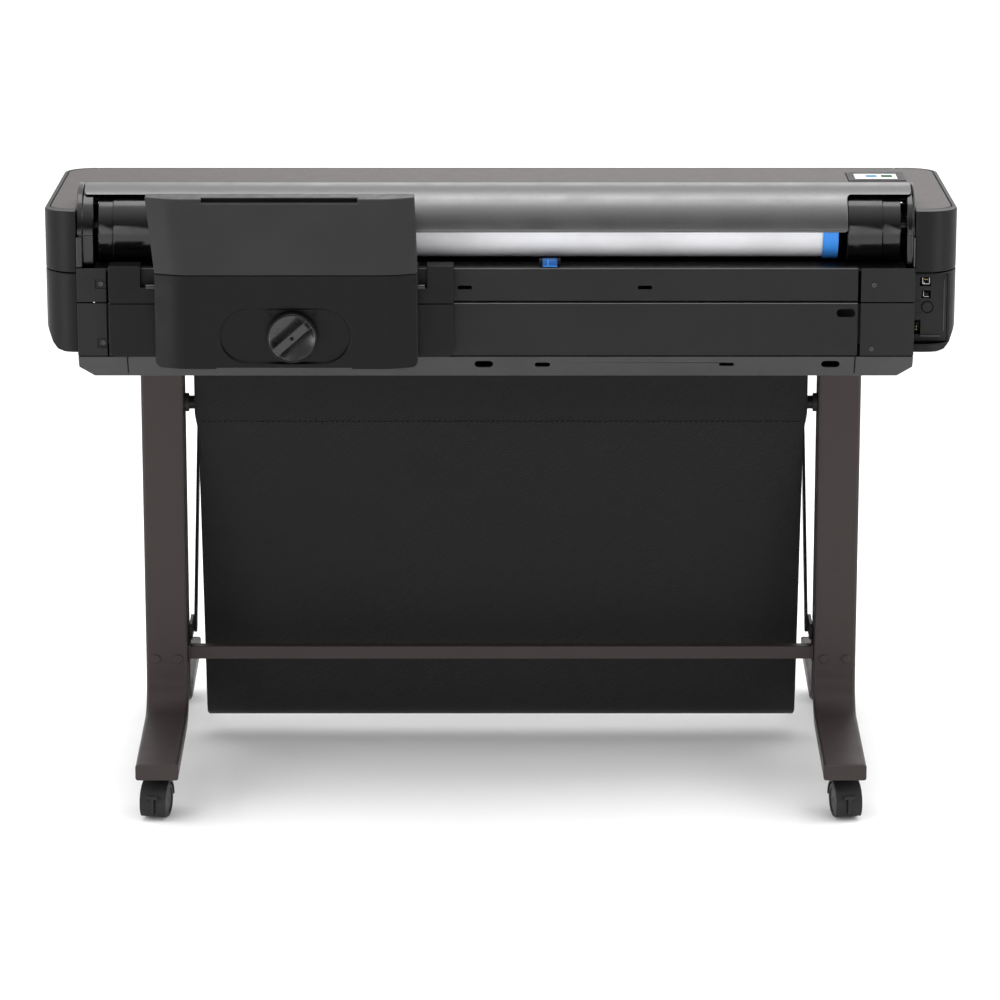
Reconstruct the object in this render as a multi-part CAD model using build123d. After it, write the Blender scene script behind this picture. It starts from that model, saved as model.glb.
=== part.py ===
from build123d import *
import os
from math import cos, radians, sin

# Large format plotter on a wheeled stand with a catch basket.
# Frame: millimetres, +Z up, origin on the floor under the middle of the whole object.
# -Y is the machine's rear, where paper rolls and cut sheets are loaded; +Y is its front,
# where prints come out. +X is to the right for someone standing behind the machine.

# --- overall size -------------------------------------------------------------------------
WIDTH = 1317.0
HEIGHT = 932.0

# --- printer body ---------------------------------------------------------------------------
BODY_REAR = -220.0
BODY_FRONT = 220.0
BODY_BOTTOM = 655.0
MID_LEFT = -611.0            # middle section between the two end caps
MID_RIGHT = 596.0
CAP_BOTTOM = 694.0
CAP_SEAM = 812.0
CAP_RADIUS = 45.0            # plan radius of the end caps' outer corners
CAP_CHAMFER = 34.0
WALL = 3.0
GAP = 1.5                    # visible seams between covers
SOCKETS = ((605, 621, 789, 802), (608, 621, 771, 782), (590, 607, 716.5, 738))
TOP_REAR_Z = 903.0           # top surface at the rear face, sloping down to the front
TOP_SLOPE = 0.084
PANEL_INSET = 7.0

# --- rear panels ----------------------------------------------------------------------------
REAR_FACE = -230.0
PANEL_LEFT = -566.0
PANEL_RIGHT = 514.5
CORNER_RIGHT = 518.5         # where the right corner panel starts
CHIN_TOP = 690.0
CHIN_SPLITS = (-540.0, 512.0)
GROOVE_Z = 770.0
PANEL_TOP = 821.0
LEFT_SCREWS = ((-576, 798.5), (-574, 711))
RIGHT_SCREWS = ((537, 797), (535, 702))
POCKET = 2.0                 # depth of the pockets round the left screws

# --- roll bay -------------------------------------------------------------------------------
ROLL_Y = -150.0
ROLL_Z = 866.0
ROLL_R = 45.0
SPINDLE_R = 14.0
JOURNAL_R = 8.0
HUB_R = 54.5
LATCH_Y = -208.0
LATCH_Z = 826.0
COVER_R = 62.0
COVER_T = 2.5
COVER_LEFT = -601.0
COVER_RIGHT = 592.0
COVER_LIP = 870.0            # lower edge between the hubs
COVER_END_LIP = 919.0        # higher edge above the hubs
NOTCH_LEFT = -505.0
NOTCH_RIGHT = 499.0
COVER_REAR_Z = 893.0
LIP_CORNER_R = 5.0
COVER_PIN_R = 2.0
COVER_PIN = (-97.2, 892.3)   # hinge axis of the cover, just inside its front edge
TROUGH_R = 57.0
TOP_REAR_EDGE = -88.0        # where the top panel starts, in front of the roll cover
ROLL_LEFT = -449.0
ROLL_RIGHT = 465.0

# --- sheet feeder ---------------------------------------------------------------------------
FEED_LEFT = -496.0
FEED_RIGHT = -119.5
FEED_BACK = -245.0
FEED_FACE = -285.0
FEED_WING = -273.0           # front face at the two outer ends
FEED_WING_W = 38.0
FEED_BEND_R = 110.0
FEED_BOTTOM = 686.0
FEED_SEAM = 824.0
LID_TOP_LEFT = -509.0
LID_TOP_RIGHT = -124.0
LID_TOP_FRONT = -266.0
LID_TOP_BACK = -230.0
KNOB_X = -299.0
KNOB_Z = 735.0
KNOB_R = 36.5
PIN_Z = 799.0
MOUNT_LEFT = -564.0
MOUNT_RIGHT = -68.0

# --- stand ----------------------------------------------------------------------------------
LEG_X = 504.5
TUBE_W = 63.0
TUBE_T = 24.0
TUBE_WALL = 2.5
TUBE_CENTRE_Y = 20.0
FOOT_Z = 78.0                # centre height of the foot tubes
BEND_R = 57.0                # centreline radius at the foot
FOOT_END = 302.5
CROSSBAR_Z = 170.0
SLEEVE_Z = 558.0             # height of the basket's rear tube

# --- casters --------------------------------------------------------------------------------
SWIVEL_Y = 253.0
TRAIL = 15.0
WHEEL_R = 25.0
WHEEL_W = 13.0
CASTER_TURN = 10.0           # the rear pair stands turned a little inwards
BRAKE_PIVOT_Y = -37.0
BRAKE_PIVOT_Z = 16.0

# --- basket ---------------------------------------------------------------------------------
ARM_PIVOT_Y = 56.0
ARM_PIVOT_Z = 192.0
FRONT_TUBE_Y = 275.0
FRONT_TUBE_Z = 540.0
FABRIC_HALF = 465.0
FABRIC_T = 3.0

# --- print path -----------------------------------------------------------------------------
FEED_ROLLER_Y = 50.0
FEED_ROLLER_Z = 738.0
FEED_ROLLER_R = 14.0
PINCH_R = 6.0
RAIL_Y = 110.0
RAIL_Z = 806.0
RAIL_R = 8.0
RUNNING_FIT = 0.05

# --- front flaps ----------------------------------------------------------------------------
FLAP_PIN_R = 1.0
WINDOW_PIN_Z = 853.7
DOOR_PIN_Z = 754.3

os.makedirs("parts", exist_ok=True)


def save(name, shape):
    """Write one named sub-part."""
    solids = shape.solids()
    whole = solids[0] if len(solids) == 1 else Compound(children=list(solids))
    export_step(whole, f"parts/{name}.step")


def group(*shapes):
    """Several separate solids kept in one sub-part."""
    return Compound(children=[solid for shape in shapes for solid in shape.solids()])


def block(x, y, z):
    """Box from its lowest and highest coordinates on each axis."""
    centre = Pos((x[0] + x[1]) / 2, (y[0] + y[1]) / 2, (z[0] + z[1]) / 2)
    return centre * Box(x[1] - x[0], y[1] - y[0], z[1] - z[0])


def oval(x, y, z):
    """Slot with round ends, cut along Y."""
    return fillet(block(x, y, z).edges().filter_by(Axis.Y), (z[1] - z[0]) / 2 - 0.05)


def rod_x(radius, x, y, z):
    return Pos((x[0] + x[1]) / 2, y, z) * Rot(0, 90, 0) * Cylinder(radius, x[1] - x[0])


def rod_y(radius, x, y, z):
    return Pos(x, (y[0] + y[1]) / 2, z) * Rot(90, 0, 0) * Cylinder(radius, y[1] - y[0])


def rod_z(radius, x, y, z):
    return Pos(x, y, (z[0] + z[1]) / 2) * Cylinder(radius, z[1] - z[0])


def profile_x(points, x):
    """Outline given as (y, z) points, extruded along X."""
    face = make_face(Polyline(*points, close=True))
    return extrude(Plane.YZ.offset(x[0]) * face, x[1] - x[0])


def profile_y(points, y):
    """Outline given as (x, z) points, extruded along +Y."""
    face = make_face(Polyline(*[(px, -pz) for px, pz in points], close=True))
    plane = Plane(origin=(0, y[0], 0), x_dir=(1, 0, 0), z_dir=(0, 1, 0))
    return extrude(plane * face, y[1] - y[0])


def profile_z(points, z):
    """Outline given as (x, y) points, extruded upwards."""
    face = make_face(Polyline(*points, close=True))
    return extrude(Pos(0, 0, z[0]) * face, z[1] - z[0])


def strip_x(points, width, x):
    """Thin bent sheet: a line of (y, z) points given a thickness and extruded along X."""
    face = trace(Polyline(*points), width)
    return extrude(Plane.YZ.offset(x[0]) * face, x[1] - x[0])


def arc_sheet(radius, thickness, x, start, end):
    """Part of a tube round the roll axis, between two angles measured from +Y towards +Z."""
    reach = radius * 2.2
    middle = (start + end) / 2
    wedge = [(0, 0)]
    for angle in (start, (start + middle) / 2, middle, (middle + end) / 2, end):
        wedge.append((reach * cos(radians(angle)), reach * sin(radians(angle))))
    ring = rod_x(radius, x, 0, 0) - rod_x(radius - thickness, x, 0, 0)
    return Pos(0, ROLL_Y, ROLL_Z) * (ring & profile_x(wedge, x))


def top_z(y):
    return TOP_REAR_Z - TOP_SLOPE * (y - BODY_REAR)


def under_top(x, drop, depth=400.0):
    """Everything below the sloping top surface, lowered by drop."""
    ends = (-320.0, 320.0)
    upper = [(y, top_z(y) - drop) for y in ends]
    lower = [(y, top_z(y) - drop - depth) for y in reversed(ends)]
    return profile_x(upper + lower, x)


# --- stand ----------------------------------------------------------------------------------

def leg_tube(side, way):
    """One bent flat tube: a column half that turns outwards into a foot."""
    x = side * LEG_X
    y = way * TUBE_CENTRE_Y
    path = FilletPolyline((x, y, BODY_BOTTOM - 4), (x, y, FOOT_Z),
                          (x, way * (FOOT_END - 4), FOOT_Z), radius=BEND_R)
    start = Plane(origin=(x, y, BODY_BOTTOM - 4), x_dir=(1, 0, 0), z_dir=(0, 0, -1))
    hollow = RectangleRounded(TUBE_W - 2 * TUBE_WALL, TUBE_T - 2 * TUBE_WALL, 2.5)
    section = RectangleRounded(TUBE_W, TUBE_T, 5) - hollow
    return sweep(start * section, path=path)


def foot_cap(side, way):
    """Closed end of a foot tube."""
    ends = sorted((way * (FOOT_END - 4), way * FOOT_END))
    half = TUBE_W / 2
    cap = block((side * LEG_X - half, side * LEG_X + half), ends,
                (FOOT_Z - TUBE_T / 2, FOOT_Z + TUBE_T / 2))
    return fillet(cap.edges().filter_by(Axis.Y), 4)


def leg(side):
    return group(leg_tube(side, -1), leg_tube(side, 1))


def leg_plates():
    """Spines between the two tubes of each leg, plates under the printer, and foot ends."""
    pieces = []
    inner = TUBE_CENTRE_Y - TUBE_T / 2
    for side in (-1, 1):
        x = side * LEG_X
        pieces.append(block((x - 24, x + 24), (-inner, inner), (150, BODY_BOTTOM - 4)))
        pieces.append(block((x - 38, x + 38), (-90, 90), (BODY_BOTTOM - 4, BODY_BOTTOM)))
        for way in (-1, 1):
            pieces.append(foot_cap(side, way))
    return group(*pieces)


def crossbar():
    inner = LEG_X - TUBE_W / 2
    rear = -(TUBE_CENTRE_Y + TUBE_T / 2 - 12)
    bar = block((-inner + 3, inner - 3), (rear, rear + 16), (CROSSBAR_Z - 10, CROSSBAR_Z + 10))
    ends = [block(sorted((side * inner, side * (inner - 3))), (rear - 4, rear + 26),
                  (CROSSBAR_Z - 13, CROSSBAR_Z + 13)) for side in (-1, 1)]
    return bar + ends[0] + ends[1]


def leg_bolts():
    """Round-headed bolts through each column, level with the crossbar."""
    face = TUBE_CENTRE_Y + TUBE_T / 2
    bolts = []
    for side in (-1, 1):
        for offset in (-17, 17):
            x = side * LEG_X + offset
            head = rod_y(7, x, (-face - 2.5, -face), CROSSBAR_Z - 6)
            bolts.append(fillet(head.edges().sort_by(Axis.Y)[0], 1.8))
    return group(*bolts)


def basket_brackets():
    """Sockets for the rear tube and the blocks that the basket's arms turn in."""
    inner = LEG_X - TUBE_W / 2
    pieces = []
    for side in (-1, 1):
        socket_x = sorted((side * inner, side * (inner - 7)))
        socket = rod_x(14, socket_x, 0, SLEEVE_Z) - rod_x(10, socket_x, 0, SLEEVE_Z)
        pieces.append(socket)
        block_x = sorted((side * inner, side * (inner - 5)))
        body = block(block_x, (8, 66), (180, 205))
        body = chamfer(body.edges().filter_by(Axis.X), 4)
        pin = rod_x(5, sorted((side * (inner - 5), side * (inner - 10))),
                    ARM_PIVOT_Y, ARM_PIVOT_Z)
        pieces.append(body + pin)
    return group(*pieces)


def basket_rear_tube():
    inner = LEG_X - TUBE_W / 2
    span = (-inner, inner)
    return rod_x(10, span, 0, SLEEVE_Z) - rod_x(8.5, span, 0, SLEEVE_Z)


def arm_x(side):
    """A basket arm's two faces along X."""
    inner = LEG_X - TUBE_W / 2
    return sorted((side * (inner - 5.3), side * (inner - 9.7)))


def basket_arms():
    """Two flat bars that carry the basket's front tube."""
    arms = []
    length = ((FRONT_TUBE_Y - ARM_PIVOT_Y) ** 2 + (FRONT_TUBE_Z - ARM_PIVOT_Z) ** 2) ** 0.5
    along = ((FRONT_TUBE_Y - ARM_PIVOT_Y) / length, (FRONT_TUBE_Z - ARM_PIVOT_Z) / length)
    across = (along[1] * 11, -along[0] * 11)
    ends = ((ARM_PIVOT_Y, ARM_PIVOT_Z), (FRONT_TUBE_Y, FRONT_TUBE_Z))
    outline = [(ends[0][0] + across[0], ends[0][1] + across[1]),
               (ends[1][0] + across[0], ends[1][1] + across[1]),
               (ends[1][0] - across[0], ends[1][1] - across[1]),
               (ends[0][0] - across[0], ends[0][1] - across[1])]
    for side in (-1, 1):
        x = arm_x(side)
        bar = profile_x(outline, x)
        bar += rod_x(13, x, *ends[0]) + rod_x(13, x, *ends[1])
        bar -= rod_x(5 + RUNNING_FIT, x, *ends[0]) + rod_x(8, x, *ends[1])
        arms.append(bar)
    return group(*arms)


def basket_front_tube():
    inner = LEG_X - TUBE_W / 2 - 5.3
    span = (-inner, inner)
    return rod_x(8, span, FRONT_TUBE_Y, FRONT_TUBE_Z) - rod_x(6.5, span, FRONT_TUBE_Y, FRONT_TUBE_Z)


def basket_fabric_lower():
    """Rear sheet, bottom fold and the foot of the front sheet."""
    line = [(-12.5, 648), (-12.5, 545), (14, 420), (96, 52), (104, 33), (120, 24), (136, 33),
            (146, 52), (158, 190)]
    return strip_x(line, FABRIC_T, (-FABRIC_HALF + 3, FABRIC_HALF - 3))


def basket_fabric_front():
    line = [(159, 200), (196, 340), (262, 528)]
    return strip_x(line, FABRIC_T, (-FABRIC_HALF + 3, FABRIC_HALF - 3))


# --- casters --------------------------------------------------------------------------------

def place_caster(shape, side, way):
    """Move a caster built round its swivel axis, trailing towards -Y, to its foot."""
    turn = side * CASTER_TURN if way < 0 else 180 - side * CASTER_TURN
    return Pos(side * LEG_X, way * SWIVEL_Y, 0) * Rot(0, 0, turn) * shape


def caster_hood():
    """Hood over both wheels, with its centre web, stem and collar."""
    web_half = 5.5
    half = web_half + WHEEL_W + 1.0
    outer = rod_x(WHEEL_R + 4.5, (-half, half), -TRAIL, WHEEL_R)
    inner_left = rod_x(WHEEL_R + 1.8, (-half - 1, -web_half), -TRAIL, WHEEL_R)
    inner_right = rod_x(WHEEL_R + 1.8, (web_half, half + 1), -TRAIL, WHEEL_R)
    hood = outer - inner_left - inner_right
    hood -= block((-50, 50), (-TRAIL - 50, 50), (-10, 5.5))
    hood -= block((-50, 50), (-TRAIL + 12, 60), (-10, WHEEL_R))
    hood -= rod_x(3 + RUNNING_FIT, (-50, 50), -TRAIL, WHEEL_R)
    hood -= block((-3, 3), (-TRAIL - 50, BRAKE_PIVOT_Y + 4), (BRAKE_PIVOT_Z - 5, 35))
    hood -= rod_x(1.5 + RUNNING_FIT, (-50, 50), BRAKE_PIVOT_Y, BRAKE_PIVOT_Z)
    neck = rod_z(11, 0, 0, (WHEEL_R + 22, FOOT_Z - TUBE_T / 2 - 0.1))
    neck -= rod_x(WHEEL_R + 1.8, (-50, -web_half), -TRAIL, WHEEL_R)
    neck -= rod_x(WHEEL_R + 1.8, (web_half, 50), -TRAIL, WHEEL_R)
    return hood + neck


def caster_wheels():
    """Two wheels pressed onto one axle."""
    pieces = [rod_x(3, (-17, 17), -TRAIL, WHEEL_R)]
    for side in (-1, 1):
        x = sorted((side * 5.7, side * (5.7 + WHEEL_W)))
        wheel = rod_x(WHEEL_R, x, -TRAIL, WHEEL_R)
        rim_edges = wheel.edges().filter_by(GeomType.CIRCLE)
        wheel = fillet(rim_edges, 2.2)
        dish = sorted((side * (5.7 + WHEEL_W - 1.5), side * 30))
        wheel -= rod_x(WHEEL_R - 6, dish, -TRAIL, WHEEL_R)
        wheel -= rod_x(3, x, -TRAIL, WHEEL_R)
        pieces.append(wheel)
    return group(*pieces)


def caster_brake():
    """T-shaped foot tab in front of the hood."""
    hood_front = -TRAIL - WHEEL_R - 4.5
    bar = block((-8.5, 8.5), (hood_front - 4.2, hood_front - 0.5), (35.5, 40.5))
    stem = block((-2.5, 2.5), (hood_front - 4.0, BRAKE_PIVOT_Y + 1.5), (BRAKE_PIVOT_Z - 3, 29))
    stem += block((-2.5, 2.5), (hood_front - 4.0, hood_front - 0.5), (29, 36))
    return bar + stem + rod_x(1.5, (-5.5, 5.5), BRAKE_PIVOT_Y, BRAKE_PIVOT_Z)


# --- printer body shells --------------------------------------------------------------------

def cap_solid(side, z, inset=0.0):
    """Solid end cap block between two heights, with its lower outer edge cut away."""
    plan = RectangleRounded(WIDTH - 2 * inset, BODY_FRONT - BODY_REAR - 2 * inset,
                            CAP_RADIUS - inset)
    middle = MID_LEFT if side < 0 else MID_RIGHT
    outer = side * WIDTH / 2
    solid = extrude(Pos(0, 0, z[0]) * plan, z[1] - z[0])
    solid &= block(sorted((middle, outer)), (-300, 300), z)
    bevel = [(outer + side * 5, CAP_BOTTOM - 5), (outer + side * 5, CAP_BOTTOM + CAP_CHAMFER),
             (outer, CAP_BOTTOM + CAP_CHAMFER), (outer - side * 9, CAP_BOTTOM + 11),
             (outer - side * 17, CAP_BOTTOM + 2.5), (outer - side * 28, CAP_BOTTOM),
             (outer - side * 28, CAP_BOTTOM - 5)]
    shift = Pos(-side * inset, 0, inset)
    return solid - shift * profile_y(bevel, (-300, 300))


def upper_cap(side):
    reach = (min(side * 700, 0), max(side * 700, 0))
    shell = cap_solid(side, (CAP_SEAM + GAP / 2, 960)) & under_top(reach, 0)
    hollow = cap_solid(side, (CAP_SEAM - 5, 960), WALL) & under_top(reach, 2 * WALL)
    shell -= hollow
    return shell - top_panel_solid(GAP) - display_bay()


def lower_cap(side):
    shell = cap_solid(side, (CAP_BOTTOM, CAP_SEAM - GAP / 2))
    shell -= cap_solid(side, (CAP_BOTTOM + WALL, CAP_SEAM + 5), WALL)
    return shell


def right_lower_cap():
    """The right lower cap has a recessed connector bay at its rear corner."""
    bay = block((MID_RIGHT - 1, 648), (-230, -204), (CAP_BOTTOM + 12, CAP_SEAM - 4))
    return lower_cap(1) - bay


def connector_panel():
    """Recessed panel with pockets for the network, USB and power sockets."""
    low, high = CAP_BOTTOM + 12.2, CAP_SEAM - 6
    inside = cap_solid(1, (low, high), WALL + 0.2)
    panel = block((MID_RIGHT + 0.5, 648), (-203.8, -200), (low, high)) & inside
    panel += block((MID_RIGHT + 0.5, 634), (-203.8, -185), (low, high))
    for left, right, bottom, top in SOCKETS:
        panel -= block((left, right), (-210, -188), (bottom, top))
    return panel


def top_panel_solid(grow=0.0):
    """Textured top cover, cut out round the roll bay and the display."""
    half = WIDTH / 2 - PANEL_INSET + grow
    outline = Pos(0, (-194 + 213) / 2) * RectangleRounded(2 * half, 213 + 194 + 2 * grow, 38)
    slab = extrude(Pos(0, 0, 780) * outline, 200)
    reach = (-700, 700)
    panel = slab & under_top(reach, 0) - under_top(reach, WALL)
    panel -= block((MID_LEFT - 1.5 + grow, MID_RIGHT + 1.5 - grow), (-300, TOP_REAR_EDGE),
                   (700, 1000))
    return panel


def display_bay():
    return block((519, 605), (78, 166), (800, 1000))


def top_panel():
    return top_panel_solid() - display_bay()


def display_bezel():
    slab = block((519.4, 604.6), (78.4, 165.6), (800, 1000))
    reach = (500, 620)
    frame = slab & (under_top(reach, -1.2) - under_top(reach, 6))
    return frame - display_slab(0, 5)


def display_slab(shrink, rise):
    """Block in the display's window, up to a height above the sloping top."""
    slab = block((530 + shrink, 594 - shrink), (97 + shrink, 150 - shrink), (800, 1000))
    return slab & (under_top((500, 620), -rise) - under_top((500, 620), 3))


def tray_corner(x, way, wide, high):
    """Wedge cut off along one of the tray's lower side edges."""
    low = BODY_BOTTOM - 1
    return profile_y([(x - way, low), (x + way * wide, low), (x - way, low + high)], (-250, 250))


def base_tray():
    """Bottom cover with a slanted chin along the rear."""
    outer = [(REAR_FACE, CHIN_TOP), (-206, BODY_BOTTOM), (206, BODY_BOTTOM), (222, CHIN_TOP)]
    inner = [(REAR_FACE + 3.6, CHIN_TOP + 1), (-204, BODY_BOTTOM + 3), (204, BODY_BOTTOM + 3),
             (218.4, CHIN_TOP + 1)]
    solid = profile_x(outer, (MID_LEFT, MID_RIGHT))
    hollow = profile_x(inner, (MID_LEFT + 3, MID_RIGHT - 3))
    for x, way in ((MID_LEFT, 1), (MID_RIGHT, -1)):
        solid -= tray_corner(x, way, 23, 18)
        hollow -= tray_corner(x, way, 27, 21)
    tray = solid - hollow
    for x, z in (((-38, -11.5), (671, 682)), ((463.5, 490), (671, 682)),
                 ((49, 71), (672, 679)), ((316, 337), (673.5, 678.5))):
        tray -= oval(x, (-240, -210), z)
    for x in CHIN_SPLITS:
        tray -= block((x - 0.6, x + 0.6), (-240, -205), (BODY_BOTTOM + 5, CHIN_TOP + 1))
    return tray


def rear_upper_strip():
    strip = block((PANEL_LEFT, PANEL_RIGHT), (REAR_FACE + 2, REAR_FACE + 5),
                  (GROOVE_Z + 2, PANEL_TOP))
    strip += block((PANEL_LEFT, PANEL_RIGHT), (REAR_FACE + 5, -214), (PANEL_TOP - 3, PANEL_TOP))
    for left, right in ((-62.5, -42), (197, 217.5)):
        strip -= oval((left, right), (REAR_FACE, -220), (790, 795))
    return strip


def rear_lower_panel():
    panel = block((PANEL_LEFT, PANEL_RIGHT), (REAR_FACE, REAR_FACE + 3), (CHIN_TOP + 1.5, GROOVE_Z))
    panel += block((PANEL_LEFT, PANEL_RIGHT), (REAR_FACE + 3, REAR_FACE + 14),
                   (GROOVE_Z - 3, GROOVE_Z))
    return panel - oval((484, 510.5), (REAR_FACE - 1, REAR_FACE + 4), (749, 761))


def rear_corner_panels():
    """Outer rear panels, an upper and a lower one on each side."""
    pieces = []
    for x in ((MID_LEFT, PANEL_LEFT - 2), (CORNER_RIGHT, MID_RIGHT)):
        for z in ((CHIN_TOP + 1.5, GROOVE_Z), (GROOVE_Z + 1.5, PANEL_TOP)):
            pieces.append(block(x, (REAR_FACE, REAR_FACE + 4), z))
    pockets = [block((x - 8, PANEL_LEFT), (REAR_FACE - 1, REAR_FACE + POCKET), (z - 7, z + 7))
               for x, z in LEFT_SCREWS]
    return group(*[piece - pockets[0] - pockets[1] for piece in pieces])


def panel_screws():
    """Screws in the outer rear panels; the left ones sit in shallow pockets."""
    screws = []
    for places, face in ((LEFT_SCREWS, REAR_FACE + POCKET), (RIGHT_SCREWS, REAR_FACE)):
        for x, z in places:
            head = rod_y(3.6, x, (face - 1.4, face), z)
            for wide, tall in ((0.5, 2.4), (2.4, 0.5)):
                head -= block((x - wide, x + wide), (face - 2, face - 0.7), (z - tall, z + tall))
            screws.append(head)
    return group(*screws)


def chassis():
    """Steel side plates, a rear beam and a front beam that carry the rollers and the rail."""
    plates = []
    outline = [(-200, BODY_BOTTOM + 7), (200, BODY_BOTTOM + 7), (206, 700), (206, 740), (150, 850),
               (-84, 850), (-84, 800), (-200, 800)]
    for x in ((-584, -581), (574, 577)):
        plate = profile_x(outline, x)
        plate -= rod_x(6 + RUNNING_FIT, (x[0] - 1, x[1] + 1), FEED_ROLLER_Y, FEED_ROLLER_Z)
        plate -= rod_x(3 + RUNNING_FIT, (x[0] - 1, x[1] + 1), FEED_ROLLER_Y, pinch_z())
        plate -= rod_x(RAIL_R, (x[0] - 1, x[1] + 1), RAIL_Y, RAIL_Z)
        plates.append(plate)
    rear_beam = block((-581, 574), (-196, -190), (700, 760))
    front_beam = block((-581, 574), (150, 156), (690, 730))
    return plates[0] + plates[1] + rear_beam + front_beam


def front_fascia():
    """Front cover with openings for the window, the print exit and the ink door."""
    face = block((MID_LEFT, MID_RIGHT), (BODY_FRONT - 4, BODY_FRONT), (CHIN_TOP + 1, 866))
    face -= block((-500, 485), (200, 230), (778, 856))
    face -= block((-470, 470), (200, 230), (752, 774))
    face -= block((500, 582), (200, 230), (752, 852))
    face -= rod_x(FLAP_PIN_R + RUNNING_FIT, (-504.5, 489.5), BODY_FRONT - 1.5, WINDOW_PIN_Z)
    face -= rod_x(FLAP_PIN_R + RUNNING_FIT, (495.5, 586.5), BODY_FRONT - 1.5, DOOR_PIN_Z)
    return face + block((MID_LEFT, MID_RIGHT), (196, BODY_FRONT - 4), (859, 862))


def front_window():
    """Smoked window over the carriage, with hinge pins at the ends of its top edge."""
    return block((-499, 484), (BODY_FRONT - 3, BODY_FRONT), (779, 855.4)) + rod_x(
        FLAP_PIN_R, (-504, 489), BODY_FRONT - 1.5, WINDOW_PIN_Z)


def ink_door():
    """Flap over the ink bay, with hinge pins at the ends of its bottom edge."""
    door = block((501, 581), (BODY_FRONT - 3, BODY_FRONT), (752.6, 851))
    door += rod_x(FLAP_PIN_R, (496, 586), BODY_FRONT - 1.5, DOOR_PIN_Z)
    return door - rod_y(9, 541, (BODY_FRONT - 1.2, BODY_FRONT + 1), 838)


def ink_bay():
    outer = block((497, 571), (128, 213), (752, 850))
    return outer - block((499, 569), (130, 214), (754, 848))


def ink_cartridges():
    return group(*[block((501 + 17 * n, 516.5 + 17 * n), (132, 208), (755, 842))
                   for n in range(4)])


def platen():
    """Ribbed plate that the paper crosses under the carriage."""
    plate = block((-474, 474), (70, 214), (742, 748))
    for n in range(-18, 19):
        plate += block((n * 25 - 1, n * 25 + 1), (72, 212), (748, 750))
    return plate


def feed_roller():
    roller = rod_x(FEED_ROLLER_R, (-472, 472), FEED_ROLLER_Y, FEED_ROLLER_Z)
    return roller + rod_x(6, (-590, 580), FEED_ROLLER_Y, FEED_ROLLER_Z)


def pinch_z():
    return FEED_ROLLER_Z + FEED_ROLLER_R + PINCH_R + 0.1


def pinch_rollers():
    """Small rollers on one shaft that press the paper on the feed roller."""
    shaft = rod_x(3, (-590, 580), FEED_ROLLER_Y, pinch_z())
    for n in range(-5, 6):
        shaft += rod_x(PINCH_R, (n * 84 - 18, n * 84 + 18), FEED_ROLLER_Y, pinch_z())
    return shaft


def carriage_rail():
    return rod_x(RAIL_R, (-584, 577), RAIL_Y, RAIL_Z)


def carriage():
    """Print carriage running on the rail."""
    body = block((385, 485), (78, 150), (762, 836))
    body = chamfer(body.edges().filter_by(Axis.X).group_by(Axis.Z)[-1], 6)
    body -= rod_x(RAIL_R + RUNNING_FIT, (380, 490), RAIL_Y, RAIL_Z)
    return body - block((392, 478), (88, 96), (822, 840))


def carriage_belt():
    """Toothed belt loop behind the carriage."""
    loop = Plane.XY.offset(790) * (SlotOverall(1046, 22) - SlotOverall(1043, 19))
    return Pos(-38, 170, 0) * extrude(loop, 6)


# --- roll bay -------------------------------------------------------------------------------

def roll_cover():
    """Curved cover over the roll, with raised lips above the hubs and a pin at each end."""
    reach = (COVER_LEFT, COVER_RIGHT)
    sheet = rod_x(COVER_R, reach, ROLL_Y, ROLL_Z) - rod_x(COVER_R - COVER_T, reach, ROLL_Y, ROLL_Z)
    lips = Polyline((COVER_LEFT, 1000), (COVER_LEFT, COVER_END_LIP), (NOTCH_LEFT, COVER_END_LIP),
                    (NOTCH_LEFT, COVER_LIP), (NOTCH_RIGHT, COVER_LIP),
                    (NOTCH_RIGHT, COVER_END_LIP), (COVER_RIGHT, COVER_END_LIP),
                    (COVER_RIGHT, 1000), close=True)
    face = Plane.XZ.offset(-ROLL_Y) * make_face(lips)
    face = fillet(face.vertices().sort_by(Axis.Z)[:6], LIP_CORNER_R)
    sheet &= extrude(face, 100) + block(reach, (ROLL_Y, 0), (COVER_REAR_Z, 1000))
    return sheet + rod_x(COVER_PIN_R, (COVER_LEFT - 5, COVER_LEFT + 9), *COVER_PIN) + rod_x(
        COVER_PIN_R, (COVER_RIGHT - 9, COVER_RIGHT + 5), *COVER_PIN)


def roll_cheeks():
    """Fixed round-topped end walls of the roll bay."""
    cheeks = []
    for rim, step in (((MID_LEFT, COVER_LEFT - 1.5), (COVER_LEFT - 1.5, -587)),
                      ((COVER_RIGHT + 1.5, MID_RIGHT), (585, COVER_RIGHT + 1.5))):
        outer = rod_x(COVER_R, rim, ROLL_Y, ROLL_Z) + block(rim, (-226, -96), (PANEL_TOP, ROLL_Z))
        inner = rod_x(COVER_R - COVER_T - 0.6, step, ROLL_Y, ROLL_Z)
        inner += block(step, (-209, -96), (PANEL_TOP, ROLL_Z))
        keep = block((-700, 700), (-300, -98), (PANEL_TOP + 0.5, 1000))
        bearing = rod_x(JOURNAL_R + RUNNING_FIT, (-601, 593), ROLL_Y, ROLL_Z)
        pivot = rod_x(COVER_PIN_R + RUNNING_FIT, (COVER_LEFT - 5.5, COVER_RIGHT + 5.5), *COVER_PIN)
        cheeks.append(((outer + inner) & keep) - bearing - pivot)
    return group(*cheeks)


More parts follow.
